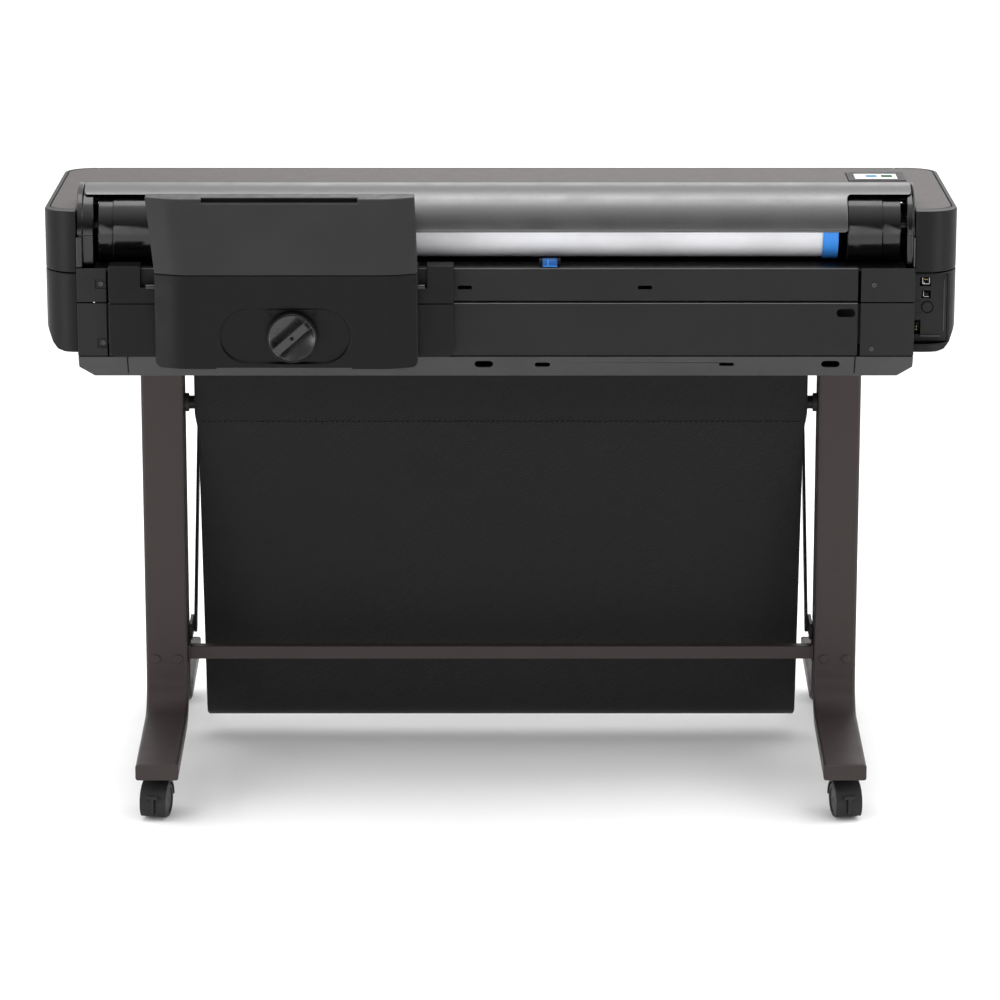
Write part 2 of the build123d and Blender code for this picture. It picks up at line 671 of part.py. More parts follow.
def roll_trough():
    """Inner lining under and in front of the roll."""
    lining = arc_sheet(TROUGH_R + 1.5, 2.5, (-586, 584), -123, 20)
    shelf_y = ROLL_Y + (TROUGH_R + 0.4) * cos(radians(-123))
    shelf_z = ROLL_Z + (TROUGH_R + 0.4) * sin(radians(-123))
    shelf = block((-586, 584), (-222, shelf_y), (shelf_z - 2.4, shelf_z))
    slot = block((-462, 462), (-150, -140), (780, 840))
    trough = lining + shelf - slot
    for x in ((55, 59), (82, 86)):
        trough += block(x, (-213, -202), (shelf_z, LATCH_Z + 4))
    return trough - rod_x(2 + RUNNING_FIT, (50, 90), LATCH_Y, LATCH_Z)


def spindle():
    """Shaft through the roll, with a thinner journal at each end."""
    return rod_x(SPINDLE_R, (-580, 578), ROLL_Y, ROLL_Z) + rod_x(
        JOURNAL_R, (-600, 592), ROLL_Y, ROLL_Z)


def spindle_hubs():
    """End hubs that sit in the cheeks, each a drum with a slightly narrower outer ring."""
    hubs = []
    for drum, ring in (((-559, -498), (-580, -559)), ((500, 550), (550, 576))):
        parts = [rod_x(HUB_R, drum, ROLL_Y, ROLL_Z), rod_x(HUB_R - 1.5, ring, ROLL_Y, ROLL_Z)]
        hub = fillet(parts[0].edges(), 1.0) + fillet(parts[1].edges(), 1.0)
        hubs.append(hub - rod_x(SPINDLE_R, (-700, 700), ROLL_Y, ROLL_Z))
    return group(*hubs)


def roll_stop():
    """Blue flange that holds the roll's end."""
    flange = rod_x(ROLL_R + 3, (ROLL_RIGHT, ROLL_RIGHT + 22), ROLL_Y, ROLL_Z)
    return flange - rod_x(SPINDLE_R, (-700, 700), ROLL_Y, ROLL_Z)


def paper_roll():
    x = (ROLL_LEFT, ROLL_RIGHT)
    return rod_x(ROLL_R, x, ROLL_Y, ROLL_Z) - rod_x(SPINDLE_R, x, ROLL_Y, ROLL_Z)


def release_latch():
    """Blue lever under the roll that frees the paper path."""
    lever = block((60, 81), (-223, LATCH_Y + 3), (LATCH_Z - 4, LATCH_Z + 5))
    lever = fillet(lever.edges().filter_by(Axis.X), 2)
    lever -= block((66, 67.5), (-224, -214), (LATCH_Z + 2, LATCH_Z + 6))
    return lever + rod_x(2, (55.5, 85.5), LATCH_Y, LATCH_Z)


# --- sheet feeder ---------------------------------------------------------------------------

def feeder_plan(left, right, face, back, z, inset=0.0):
    """Plan face at height z: flat middle, with both ends curving back."""
    left, right, face = left + inset, right - inset, face + inset
    wing = face + (FEED_WING - FEED_FACE)
    turns = [(left + FEED_WING_W, face), (right - FEED_WING_W, face)]
    corners = [(left, back), (left, wing), *turns, (right, wing), (right, back)]
    plan = Pos(0, 0, z) * make_face(Polyline(*corners, close=True))
    bends = [v for v in plan.vertices() if abs(v.Y - face) < 0.01]
    return fillet(bends, FEED_BEND_R)


def feeder_body():
    """Lower housing of the sheet feeder, open at the top."""
    tall = FEED_SEAM - FEED_BOTTOM
    shell = extrude(feeder_plan(FEED_LEFT, FEED_RIGHT, FEED_FACE, FEED_BACK, FEED_BOTTOM), tall)
    shell = fillet(shell.edges().filter_by(Axis.Y).group_by(Axis.Z)[0], 9)
    shell -= extrude(feeder_plan(FEED_LEFT, FEED_RIGHT, FEED_FACE, FEED_BACK - WALL,
                                 FEED_BOTTOM + WALL, WALL), tall)
    shell += block((-403, -216), (FEED_FACE + 2, FEED_FACE + 8), (KNOB_Z - 41, KNOB_Z + 41))
    recess = Plane(origin=(-309.5, FEED_FACE + 4, KNOB_Z), x_dir=(1, 0, 0), z_dir=(0, -1, 0))
    shell -= extrude(recess * SlotOverall(186, 80), 20)
    shell -= block((-408, -214), (-300, FEED_BACK + 1), (FEED_BOTTOM - 1, FEED_BOTTOM + 2))
    shell -= rod_y(5 + RUNNING_FIT, KNOB_X, (-300, -270), KNOB_Z)
    for x in ((FEED_LEFT - 1, FEED_LEFT + 4), (FEED_RIGHT - 4, FEED_RIGHT + 1)):
        shell -= rod_x(5 + RUNNING_FIT, x, -262, 790)
    return shell


def feeder_lid():
    """Upper housing of the feeder, which tilts open at the seam."""
    low = FEED_SEAM + GAP / 2
    outer = loft([feeder_plan(FEED_LEFT, FEED_RIGHT, FEED_FACE, FEED_BACK, low),
                  feeder_plan(LID_TOP_LEFT, LID_TOP_RIGHT, LID_TOP_FRONT, LID_TOP_BACK, HEIGHT)])
    inner = loft([feeder_plan(FEED_LEFT, FEED_RIGHT, FEED_FACE, FEED_BACK - WALL, low - 1, WALL),
                  feeder_plan(LID_TOP_LEFT, LID_TOP_RIGHT, LID_TOP_FRONT,
                              LID_TOP_BACK - WALL, HEIGHT - WALL, WALL)])
    shell = outer - inner
    grip = block((-428, -205), (-275, -256), (HEIGHT - 6, HEIGHT + 5))
    return shell - grip


def feeder_knob():
    """Round lock knob with a diagonal grip bar and its shaft."""
    floor = FEED_FACE + 4
    knob = rod_y(KNOB_R, KNOB_X, (floor - 18, floor - 0.5), KNOB_Z)
    knob = fillet(knob.edges().filter_by(GeomType.CIRCLE).sort_by(Axis.Y)[0], 2)
    dish = rod_y(KNOB_R - 3, KNOB_X, (floor - 30, floor - 8), KNOB_Z)
    tilt = Pos(KNOB_X, 0, KNOB_Z) * Rot(0, -41.5, 0)
    bar = tilt * block((-KNOB_R + 2, KNOB_R - 2), (floor - 17, floor - 4), (-5.8, 5.8))
    knob = knob - dish + bar
    knob -= rod_y(2.6, KNOB_X, (floor - 30, floor - 10), KNOB_Z)
    return knob + rod_y(5, KNOB_X, (floor - 0.5, floor + 8), KNOB_Z)


def feeder_mount():
    """Plate on the printer that the feeder hangs on, hooked over the rear panel."""
    low, high = CHIN_TOP + 3, 827.0
    plate = block((MOUNT_LEFT, MOUNT_RIGHT), (-241, REAR_FACE - 0.5), (low, high))
    plate = fillet(plate.edges().filter_by(Axis.Y).group_by(Axis.Z)[0], 9)
    plate += block((MOUNT_LEFT, MOUNT_RIGHT), (REAR_FACE - 0.5, -212), (PANEL_TOP + 1, high))
    for x in ((FEED_LEFT - 22, FEED_LEFT - 1), (FEED_RIGHT + 1, FEED_RIGHT + 13)):
        plate -= block(x, (-250, -200), (PIN_Z - 3.6, high + 1))
    plate -= block((MOUNT_LEFT - 1, MOUNT_RIGHT + 1), (-242, -239.8), (GROOVE_Z + 1, GROOVE_Z + 2))
    return plate


def feeder_pins():
    """Pins on the feeder's sides that rest in the mount's open notches."""
    return group(rod_x(3.5, (FEED_LEFT - 14, FEED_LEFT), -249, PIN_Z),
                 rod_x(3.5, (FEED_RIGHT, FEED_RIGHT + 10), -249, PIN_Z))


def pick_roller():
    """Rubber roller that draws single sheets in, on its shaft."""
    shaft = rod_x(5, (FEED_LEFT + 0.5, FEED_RIGHT - 0.5), -262, 790)
    for x in ((-360, -325), (-290, -255)):
        shaft += rod_x(11, x, -262, 790)
    return shaft


PARTS = {
    "left_leg": lambda: leg(-1),
    "right_leg": lambda: leg(1),
    "leg_plates": leg_plates,
    "crossbar": crossbar,
    "leg_bolts": leg_bolts,
    "basket_brackets": basket_brackets,
    "basket_rear_tube": basket_rear_tube,
    "basket_arms": basket_arms,
    "basket_front_tube": basket_front_tube,
    "basket_fabric_lower": basket_fabric_lower,
    "basket_fabric_front": basket_fabric_front,
    "left_upper_cap": lambda: upper_cap(-1),
    "left_lower_cap": lambda: lower_cap(-1),
    "right_upper_cap": lambda: upper_cap(1),
    "right_lower_cap": right_lower_cap,
    "connector_panel": connector_panel,
    "top_panel": top_panel,
    "display_bezel": display_bezel,
    "display_screen": lambda: display_slab(0.3, 0.9),
    "base_tray": base_tray,
    "rear_upper_strip": rear_upper_strip,
    "rear_lower_panel": rear_lower_panel,
    "rear_corner_panels": rear_corner_panels,
    "panel_screws": panel_screws,
    "chassis": chassis,
    "front_fascia": front_fascia,
    "front_window": front_window,
    "ink_door": ink_door,
    "ink_bay": ink_bay,
    "ink_cartridges": ink_cartridges,
    "platen": platen,
    "feed_roller": feed_roller,
    "pinch_rollers": pinch_rollers,
    "carriage_rail": carriage_rail,
    "carriage": carriage,
    "carriage_belt": carriage_belt,
    "roll_cover": roll_cover,
    "roll_cheeks": roll_cheeks,
    "roll_trough": roll_trough,
    "spindle": spindle,
    "spindle_hubs": spindle_hubs,
    "roll_stop": roll_stop,
    "paper_roll": paper_roll,
    "release_latch": release_latch,
    "feeder_body": feeder_body,
    "feeder_lid": feeder_lid,
    "feeder_knob": feeder_knob,
    "feeder_mount": feeder_mount,
    "feeder_pins": feeder_pins,
    "pick_roller": pick_roller,
}

for part_name, make in PARTS.items():
    save(part_name, make())

for side, side_name in ((-1, "left"), (1, "right")):
    for way, way_name in ((-1, "rear"), (1, "front")):
        corner = f"{way_name}_{side_name}"
        save(f"{corner}_caster_hood", place_caster(caster_hood(), side, way))
        save(f"{corner}_caster_wheels", place_caster(caster_wheels(), side, way))
    save(f"rear_{side_name}_caster_brake", place_caster(caster_brake(), side, -1))
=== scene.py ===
from math import atan2, cos, hypot, pi, radians, sin, sqrt

import bmesh
import bpy
from mathutils import Matrix, Vector


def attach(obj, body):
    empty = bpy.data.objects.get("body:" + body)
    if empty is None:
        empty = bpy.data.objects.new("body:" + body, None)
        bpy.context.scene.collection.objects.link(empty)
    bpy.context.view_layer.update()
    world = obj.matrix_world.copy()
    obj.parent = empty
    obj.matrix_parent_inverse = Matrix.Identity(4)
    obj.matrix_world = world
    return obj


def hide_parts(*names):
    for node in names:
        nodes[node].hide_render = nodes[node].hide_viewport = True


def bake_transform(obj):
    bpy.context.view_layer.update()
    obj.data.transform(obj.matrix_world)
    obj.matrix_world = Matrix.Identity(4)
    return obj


MM = 0.001

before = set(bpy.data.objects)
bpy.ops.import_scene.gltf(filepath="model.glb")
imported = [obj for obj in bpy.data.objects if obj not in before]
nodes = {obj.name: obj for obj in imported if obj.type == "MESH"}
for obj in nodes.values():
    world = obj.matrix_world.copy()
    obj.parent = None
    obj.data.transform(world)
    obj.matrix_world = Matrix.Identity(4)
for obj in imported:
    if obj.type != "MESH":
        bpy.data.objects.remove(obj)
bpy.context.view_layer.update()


# --- camera, light and floor ----------------------------------------------------------------

CAMERA_AT = (-0.0014, -7.4438, 2.6356)
CAMERA_DOWN = 16.681              # degrees below the horizon
LENS = 186.06                     # millimetres on a 36 mm sensor


def make_camera():
    """Long lens level with the machine's sides, looking down at its rear."""
    data = bpy.data.cameras.new("camera")
    data.lens, data.sensor_width = LENS, 36
    camera = bpy.data.objects.new("camera", data)
    camera.location = CAMERA_AT
    camera.rotation_euler = (radians(90 - CAMERA_DOWN), 0, 0)
    bpy.context.scene.collection.objects.link(camera)
    bpy.context.scene.camera = camera


def softbox(name, at, target, size, power):
    """Rectangular area light aimed at a point."""
    data = bpy.data.lights.new(name, "AREA")
    data.shape, data.size, data.size_y, data.energy = "RECTANGLE", size[0], size[1], power
    light = bpy.data.objects.new(name, data)
    light.location = at
    light.rotation_mode = "QUATERNION"
    light.rotation_quaternion = (Vector(target) - Vector(at)).to_track_quat("-Z", "Y")
    bpy.context.scene.collection.objects.link(light)


def make_sky(horizon, zenith, backdrop):
    """White studio: bright overhead and on the far side (+Y), dim at the horizon elsewhere."""
    world = bpy.data.worlds.new("studio")
    bpy.context.scene.world = world
    world.use_nodes = True
    tree = world.node_tree
    direction = tree.nodes.new("ShaderNodeTexCoord")
    parts = tree.nodes.new("ShaderNodeSeparateXYZ")
    tree.links.new(direction.outputs["Generated"], parts.inputs[0])
    terms = []
    for part, power, low, high in (("Z", 2.0, horizon, zenith), ("Y", 1.0, 0.0, backdrop)):
        share = tree.nodes.new("ShaderNodeMapRange")
        tree.links.new(parts.outputs[part], share.inputs["Value"])
        curve = tree.nodes.new("ShaderNodeMath")
        curve.operation = "POWER"
        curve.inputs[1].default_value = power
        tree.links.new(share.outputs["Result"], curve.inputs[0])
        term = tree.nodes.new("ShaderNodeMapRange")
        term.inputs["To Min"].default_value, term.inputs["To Max"].default_value = low, high
        tree.links.new(curve.outputs[0], term.inputs["Value"])
        terms.append(term)
    total = tree.nodes.new("ShaderNodeMath")
    for n, term in enumerate(terms):
        tree.links.new(term.outputs["Result"], total.inputs[n])
    background = tree.nodes["Background"]
    background.inputs["Color"].default_value = (1, 1, 1, 1)
    tree.links.new(total.outputs[0], background.inputs["Strength"])


def make_stage():
    """Pale seamless floor under soft light from overhead and from both sides."""
    make_sky(0.05, 1.80, 0.9)
    bpy.context.scene.view_settings.view_transform = "Standard"
    softbox("overhead", (0, -0.15, 3.2), (0, -0.15, 0.9), (3.0, 1.2), 44)
    softbox("rear_left", (-2.0, -1.6, 0.55), (0, 0, 0.7), (0.9, 1.0), 13)
    softbox("rear_right", (2.0, -1.6, 0.55), (0, 0, 0.7), (0.9, 1.0), 11)
    softbox("rear_fill", (0, -3.6, 0.55), (0, -0.2, 0.6), (2.4, 0.8), 9)
    softbox("side_left", (-3.2, -0.3, 1.9), (0, -0.2, 0.3), (2.0, 1.6), 30)
    softbox("side_right", (3.2, -0.3, 1.9), (0, -0.2, 0.3), (2.0, 1.6), 30)
    softbox("front", (0.5, 3.6, 2.4), (0, 0, 0.6), (2.4, 1.6), 16)
    bpy.ops.mesh.primitive_plane_add(size=90)
    floor = bpy.context.object
    floor.name = "floor"
    paper = Finish("floor_paper", (0.94, 0.94, 0.94), 0.8, specular=0.1)
    paper.tint(paper.noise(3, 2), 0.985, 1.0)
    floor.data.materials.append(paper.material)


# --- materials ------------------------------------------------------------------------------

class Finish:
    """One Principled material whose detail comes from procedural nodes in object space."""

    def __init__(self, name, color, roughness, metallic=0.0, specular=0.16, sheen=0.0):
        self.material = bpy.data.materials.new(name)
        self.material.use_nodes = True
        self.tree = self.material.node_tree
        self.shader = self.tree.nodes["Principled BSDF"]
        self.color = color
        self.normal = None
        self.position = self.add("ShaderNodeTexCoord").outputs["Object"]
        constants = {"Base Color": (*color, 1), "Roughness": roughness, "Metallic": metallic,
                     "Specular IOR Level": specular, "Sheen Weight": sheen}
        for socket, value in constants.items():
            self.shader.inputs[socket].default_value = value

    def add(self, kind, inputs=(), **settings):
        """A new node; inputs are (socket, value or output) pairs."""
        node = self.tree.nodes.new(kind)
        for setting, value in settings.items():
            setattr(node, setting, value)
        for socket, value in inputs:
            if isinstance(value, bpy.types.NodeSocket):
                self.tree.links.new(value, node.inputs[socket])
            else:
                node.inputs[socket].default_value = value
        return node

    def math(self, operation, a, b=0.0):
        return self.add("ShaderNodeMath", ((0, a), (1, b)), operation=operation).outputs[0]

    def spread(self, value, low, high, to_low, to_high):
        """Maps a value from one range to another, and holds it there."""
        return self.add("ShaderNodeMapRange", (("Value", value), ("From Min", low),
                                               ("From Max", high), ("To Min", to_low),
                                               ("To Max", to_high))).outputs["Result"]

    def noise(self, scale, detail=2.0, stretch=(1, 1, 1)):
        """Soft random pattern from 0 to 1; scale is in cycles per metre."""
        place = self.add("ShaderNodeVectorMath", ((0, self.position), (1, stretch)),
                         operation="MULTIPLY")
        return self.add("ShaderNodeTexNoise", (("Vector", place.outputs[0]), ("Scale", scale),
                                               ("Detail", detail))).outputs["Fac"]

    def stripes(self, direction, pitch):
        """Sine ridges from 0 to 1 that repeat every pitch metres along a direction."""
        along = self.add("ShaderNodeVectorMath", ((0, self.position),
                                                  (1, Vector(direction).normalized())),
                         operation="DOT_PRODUCT").outputs["Value"]
        wave = self.math("SINE", self.math("MULTIPLY", along, 2 * pi / pitch))
        return self.spread(wave, -1, 1, 0, 1)

    def tint(self, value, dark, light, low=0.3, high=0.7):
        """Shades the base colour between two strengths of itself."""
        mix = self.add("ShaderNodeMix", data_type="RGBA")
        ends = [socket for socket in mix.inputs if socket.type == "RGBA"]
        for end, strength in zip(ends, (dark, light)):
            end.default_value = (*[part * strength for part in self.color], 1)
        self.tree.links.new(self.spread(value, low, high, 0, 1), mix.inputs["Factor"])
        result = [socket for socket in mix.outputs if socket.type == "RGBA"][0]
        self.tree.links.new(result, self.shader.inputs["Base Color"])
        return self

    def gloss(self, value, smooth, rough, low=0.3, high=0.7):
        """Varies the roughness over the surface."""
        self.tree.links.new(self.spread(value, low, high, smooth, rough),
                            self.shader.inputs["Roughness"])
        return self

    def bump(self, value, depth):
        """Raises the surface by up to depth metres, on top of earlier bumps."""
        inputs = [("Height", value), ("Distance", depth)]
        if self.normal is not None:
            inputs.append(("Normal", self.normal))
        self.normal = self.add("ShaderNodeBump", inputs).outputs["Normal"]
        self.tree.links.new(self.normal, self.shader.inputs["Normal"])
        return self


def moulded(name, color, roughness, grain=0.8 * MM, depth=0.03 * MM, **more):
    """Moulded plastic with a spark-eroded grain and faint handling marks."""
    finish = Finish(name, color, roughness, **more)
    finish.tint(finish.noise(9, 4), 0.90, 1.10)
    finish.gloss(finish.noise(60, 5), roughness - 0.05, roughness + 0.07)
    finish.bump(finish.noise(1 / grain, 3), depth)
    return finish


def hatched(name, color, roughness, pitch, depth):
    """Plastic with a fine crossed hatch moulded in."""
    finish = Finish(name, color, roughness)
    crossed = finish.math("MULTIPLY", finish.stripes((1, 0.9, 0.8), pitch),
                          finish.stripes((1, -0.9, -0.8), pitch))
    finish.tint(crossed, 0.78, 1.18, 0.1, 0.8)
    finish.gloss(finish.noise(40, 4), roughness - 0.01, roughness + 0.02)
    finish.bump(crossed, depth)
    finish.bump(finish.noise(900, 2), depth * 0.4)
    return finish


def painted(name, color, roughness, metallic, flake=0.05 * MM, **more):
    """Powder coat or metallic paint with fine orange peel."""
    finish = Finish(name, color, roughness, metallic=metallic, **more)
    finish.tint(finish.noise(1300, 2), 0.85, 1.16)
    finish.gloss(finish.noise(25, 4), roughness - 0.04, roughness + 0.06)
    finish.bump(finish.noise(700, 3), flake)
    return finish


def brushed(name, color, roughness, axis=0):
    """Turned or brushed steel."""
    stretch = [1.0, 1.0, 1.0]
    stretch[axis] = 0.02
    finish = Finish(name, color, roughness, metallic=1.0)
    streaks = finish.noise(1600, 3, stretch)
    finish.tint(streaks, 0.85, 1.1)
    finish.gloss(streaks, roughness - 0.08, roughness + 0.12)
    finish.bump(streaks, 0.01 * MM)
    return finish


def woven(name, color):
    """Black polyester twill: diagonal wales over fine threads."""
    finish = Finish(name, color, 0.88, specular=0.2, sheen=0.12)
    twill = finish.stripes((1, 0.3, -1), 3.4 * MM)
    threads = finish.stripes((1, 0, 0), 1.1 * MM)
    cloth = finish.math("MULTIPLY", twill, finish.spread(threads, 0, 1, 0.6, 1))
    finish.tint(cloth, 0.70, 1.45, 0.05, 0.9)
    finish.bump(cloth, 0.30 * MM)
    finish.bump(finish.noise(11, 3), 2.0 * MM)
    return finish


HOUSING = moulded("housing_black", (0.0135, 0.0135, 0.0138), 0.42)
CAP = hatched("cap_hatched", (0.0062, 0.0062, 0.0064), 0.42, 2.2 * MM, 0.10 * MM)
CHIN = moulded("chin_grey", (0.047, 0.047, 0.0475), 0.46)
LID = moulded("lid_grey", (0.0290, 0.0290, 0.0293), 0.40)
FEEDER = moulded("feeder_black", (0.0026, 0.0026, 0.0027), 0.36)
DARK = moulded("bracket_black", (0.004, 0.004, 0.0041), 0.36)
GLOSS = moulded("gloss_black", (0.003, 0.003, 0.0031), 0.18, grain=3 * MM, depth=0.01 * MM,
                specular=0.5)
TOP = hatched("top_mauve", (0.076, 0.0665, 0.0655), 0.50, 4.2 * MM, 0.14 * MM)
COVER = painted("cover_metallic", (0.140, 0.140, 0.1415), 0.36, 0.9, 0.03 * MM)
STAND = painted("stand_brown", (0.0390, 0.0300, 0.0296), 0.42, 0.1, 0.03 * MM, specular=0.2)
TUBE = painted("tube_black", (0.010, 0.010, 0.010), 0.35, 0.0, 0.02 * MM)
STEEL = brushed("steel", (0.45, 0.45, 0.46), 0.32)
DARK_STEEL = brushed("dark_steel", (0.06, 0.06, 0.062), 0.36)
SCREW = painted("screw_black", (0.06, 0.06, 0.062), 0.26, 0.9, 0.01 * MM)
ZINC = painted("chassis_sheet", (0.035, 0.036, 0.037), 0.42, 0.7, 0.01 * MM)
RUBBER = moulded("rubber", (0.012, 0.012, 0.012), 0.7, grain=0.5 * MM)
SMOKED = moulded("smoked_window", (0.010, 0.010, 0.011), 0.12, grain=6 * MM, depth=0.01 * MM)
BLUE = moulded("blue_plastic", (0.055, 0.30, 0.86), 0.34)
# A darker copy of the blue plastic, as painted shade on the release latch under the roll.
BLUE_SHADED = moulded("blue_plastic_shaded", (0.012, 0.085, 0.30), 0.30)
PAPER = moulded("paper_white", (0.90, 0.90, 0.93), 0.62, grain=1.5 * MM, depth=0.02 * MM)
CASTER = moulded("caster_black", (0.022, 0.022, 0.0225), 0.42)
WHEEL = moulded("wheel_black", (0.016, 0.016, 0.0165), 0.34)
FABRIC = woven("basket_twill", (0.0100, 0.0100, 0.0103))
# Near-black for stitches and small marks; also painted shade in the knob's centre hole and the
# lid's finger slot.
THREAD_AND_SHADE = moulded("thread_and_shade_black", (0.003, 0.003, 0.003), 0.8, grain=0.3 * MM)
GLASS = moulded("display_black", (0.035, 0.035, 0.035), 0.40, grain=8 * MM, depth=0.001 * MM,
                specular=0.05)
SCREEN = moulded("screen_white", (0.66, 0.67, 0.67), 0.40, grain=8 * MM, depth=0.001 * MM,
                 specular=0.05)
ICON_BLUE = moulded("screen_blue", (0.060, 0.22, 0.34), 0.40, grain=8 * MM, depth=0.001 * MM,
                    specular=0.05)
ICON_GREEN = moulded("screen_green", (0.002, 0.075, 0.006), 0.40, grain=8 * MM, depth=0.001 * MM,
                     specular=0.05)
# Light grey for the rounded rear panel edges: a painted highlight where the edges catch the light.
EDGE_HIGHLIGHT = moulded("edge_grey", (0.11, 0.11, 0.11), 0.32, grain=2 * MM, depth=0.005 * MM,
               specular=0.5)
MARK = moulded("mark_dark", (0.003, 0.003, 0.003), 0.5)
KNOB_FINISH = moulded("knob_black", (0.020, 0.020, 0.0203), 0.26, specular=0.45)
GOLD = brushed("contact_gold", (0.80, 0.56, 0.22), 0.30, axis=2)


# --- building meshes ------------------------------------------------------------------------

WELD_WITHIN = 0.01 * MM
FLAT_WITHIN = 0.6                 # degrees between faces that count as one flat face
SHARP_FROM = 32                   # degrees between faces whose edge is rounded


def soften(piece, width, clamp):
    """Joins flat faces, rounds the sharp edges between them and evens the shading."""
    weld = piece.modifiers.new("weld", "WELD")
    weld.merge_threshold = WELD_WITHIN
    flat = piece.modifiers.new("flat", "DECIMATE")
    flat.decimate_type, flat.angle_limit = "DISSOLVE", radians(FLAT_WITHIN)
    if width:
        bevel = piece.modifiers.new("edges", "BEVEL")
        bevel.width, bevel.segments = width * MM, 2
        bevel.limit_method, bevel.angle_limit = "ANGLE", radians(SHARP_FROM)
        bevel.use_clamp_overlap = clamp
        bevel.harden_normals = True
    even = piece.modifiers.new("normals", "WEIGHTED_NORMAL")
    even.keep_sharp = True


def finish_node(name, finish, edge, clamp=False):
    """Gives a CAD node its material and its rounded edges."""
    node = nodes[name]
    node.data.materials.clear()
    node.data.materials.append(finish.material)
    custom = node.data.attributes.get("custom_normal")
    if custom is not None:
        node.data.attributes.remove(custom)
    node.data.shade_smooth()
    soften(node, edge, clamp)


def revolved(profile, centre, axis, steps):
    """One ring of points for each (radius, height) pair along an axis from the centre."""
    to_axis = Vector(axis).to_track_quat("Z", "Y").to_matrix().to_4x4()
    place = Matrix.Translation(Vector(centre)) @ to_axis
    return [[place @ Vector((radius * cos(2 * pi * n / steps),
                             radius * sin(2 * pi * n / steps), height))
             for n in range(steps)] for radius, height in profile]


class Form:
    """A mesh under construction, in millimetres."""

    def __init__(self):
        self.mesh = bmesh.new()

    def block(self, x, y, z, radius=0.4, segments=2, turn=Matrix.Identity(4)):
        """Box between its lowest and highest coordinates, with rounded edges."""
        made = bmesh.ops.create_cube(self.mesh, size=1)["verts"]
        for vert in made:
            corner = [side[0] if part < 0 else side[1] for part, side in zip(vert.co, (x, y, z))]
            vert.co = Vector(corner)
        if radius:
            edges = list({edge for vert in made for edge in vert.link_edges})
            made = bmesh.ops.bevel(self.mesh, geom=edges, offset=radius, segments=segments,
                                   affect="EDGES", profile=0.5, clamp_overlap=True)["verts"]
        bmesh.ops.transform(self.mesh, matrix=turn, verts=list(set(made)))
        return self

    def grid(self, rows, loop=False):
        """Surface through rows of points; a loop joins the end of each row to its start."""
        lines = [[self.mesh.verts.new(point) for point in row] for row in rows]
        for upper, lower in zip(lines, lines[1:]):
            count = len(upper)
            for n in range(count if loop else count - 1):
                self.mesh.faces.new((upper[n], upper[(n + 1) % count], lower[(n + 1) % count],
                                     lower[n]))
        return lines

    def closed(self, rings):
        """Skin through closed rings of points, with a face over each end."""
        lines = self.grid(rings, loop=True)
        self.mesh.faces.new(lines[0][::-1])
        self.mesh.faces.new(lines[-1])
        return self

    def turned(self, profile, centre, axis, steps=48):
        """Solid of revolution with both ends closed."""
        return self.closed(revolved(profile, centre, axis, steps))

    def ring(self, profile, centre, axis, steps=96):
        """Solid of revolution whose (radius, height) outline is closed and leaves a hole."""
        self.grid(revolved(profile + profile[:1], centre, axis, steps), loop=True)
        return self

    def tube(self, points, radius, sides=10):
        """Round bar along points that lie in one plane facing -Y."""
        rings = []
        for n, point in enumerate(points):
            before, after = points[max(n - 1, 0)], points[min(n + 1, len(points) - 1)]
            along = (Vector(after) - Vector(before)).normalized()
            side = along.cross(Vector((0, 1, 0)))
            rings.append([Vector(point) + radius * (cos(2 * pi * k / sides) * side
                                                    + sin(2 * pi * k / sides) * Vector((0, 1, 0)))
                          for k in range(sides)])
        return self.closed(rings)

    def piece(self, name, finish, body, slot, smooth=40):
        """Finishes the mesh as an object in metres that rides on a body."""
        bmesh.ops.scale(self.mesh, vec=(MM, MM, MM), verts=self.mesh.verts)
        bmesh.ops.remove_doubles(self.mesh, verts=self.mesh.verts, dist=0.001 * MM)
        bmesh.ops.recalc_face_normals(self.mesh, faces=self.mesh.faces)
        data = bpy.data.meshes.new(name)
        self.mesh.to_mesh(data)
        self.mesh.free()
        data.materials.append(finish.material)
        made = bpy.data.objects.new(name, data)
        bpy.context.scene.collection.objects.link(made)
        data.shade_smooth()
        if smooth:
            data.set_sharp_from_angle(angle=radians(smooth))
        if body:
            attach(made, body)
        return made


TO_REAR = (0, -1, 0)


def smoothstep(value, low, high):
    """0 up to the low value, 1 from the high one, and a smooth rise between."""
    share = min(1.0, max(0.0, (value - low) / (high - low)))
    return share * share * (3 - 2 * share)


# --- CAD nodes: finishes and softened edges --------------------------------------------------

NODE_FINISHES = {
    (STAND, 1.0): "left_leg right_leg leg_plates crossbar",
    (STAND, 0.4): "leg_bolts",
    (SCREW, 0.3): "panel_screws",
    (DARK_STEEL, 0.3): "spindle feeder_pins",
    (STEEL, 0.0): "carriage_rail",
    (DARK, 0.8): "roll_trough feeder_mount ink_bay platen carriage",
    (CASTER, 0.8): "basket_brackets",
    (TUBE, 0.5): "basket_rear_tube basket_front_tube basket_arms",
    (CAP, 1.4): "left_upper_cap left_lower_cap right_upper_cap right_lower_cap",
    (HOUSING, 1.4): "rear_upper_strip rear_lower_panel",
    (HOUSING, 0.9): "rear_corner_panels front_fascia",
    (HOUSING, 0.6): "connector_panel ink_door",
    (GLOSS, 1.2): "roll_cheeks spindle_hubs",
    (CHIN, 1.2): "base_tray",
    (TOP, 1.0): "top_panel",
    (GLASS, 0.5): "display_bezel",
    (SCREEN, 0.2): "display_screen",
    (ZINC, 0.4): "chassis",
    (SMOKED, 0.8): "front_window",
    (RUBBER, 0.4): "feed_roller pinch_rollers pick_roller carriage_belt",
    (COVER, 0.7): "roll_cover",
    (BLUE, 0.6): "roll_stop",
    # The release latch's darker blue is painted shade under the roll.
    (BLUE_SHADED, 0.5): "release_latch",
    (PAPER, 0.5): "paper_roll",
    (FEEDER, 1.4): "feeder_body",
    (LID, 1.4): "feeder_lid",
    (DARK, 0.4): "ink_cartridges",
}


